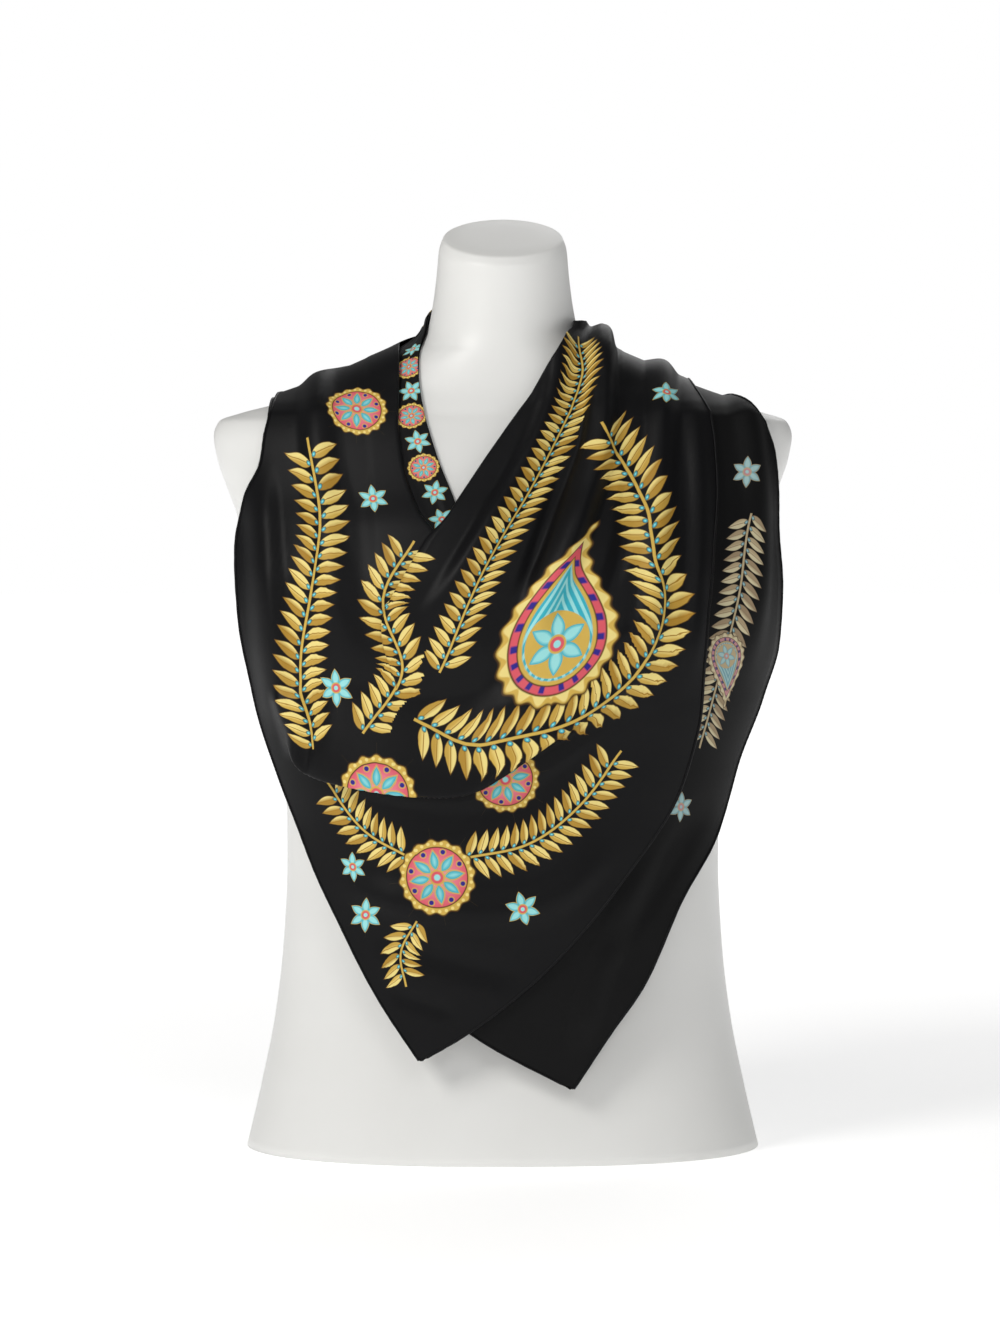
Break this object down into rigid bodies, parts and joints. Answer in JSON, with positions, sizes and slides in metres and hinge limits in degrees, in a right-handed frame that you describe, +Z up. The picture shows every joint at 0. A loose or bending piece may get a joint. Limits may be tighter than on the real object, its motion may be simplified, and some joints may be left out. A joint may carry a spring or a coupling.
{
  "type": "silk square scarf on a dress form",
  "caption": "Printed silk square scarf folded on its diagonal and draped round the neck and shoulders of a plain limbless dress form, its two corners hanging at the front.",
  "frame": {"origin": "middle of the dress form's flat base", "axes": "+Z up, the scarf's front faces -Y, +X to the viewer's right"},
  "size_m": [0.42, 0.2659, 0.6742],
  "materials": {
    "form": "smooth satin shell",
    "silk_face": "printed silk twill, right side, soft sheen",
    "silk_back": "printed silk twill, wrong side, duller"
  },
  "bodies": {
    "root": {"dress_form": "form", "front_panel": "silk_face", "rear_panel": "silk_back", "left_end": "silk_face", "right_end": "silk_face"}
  },
  "joints": []
}
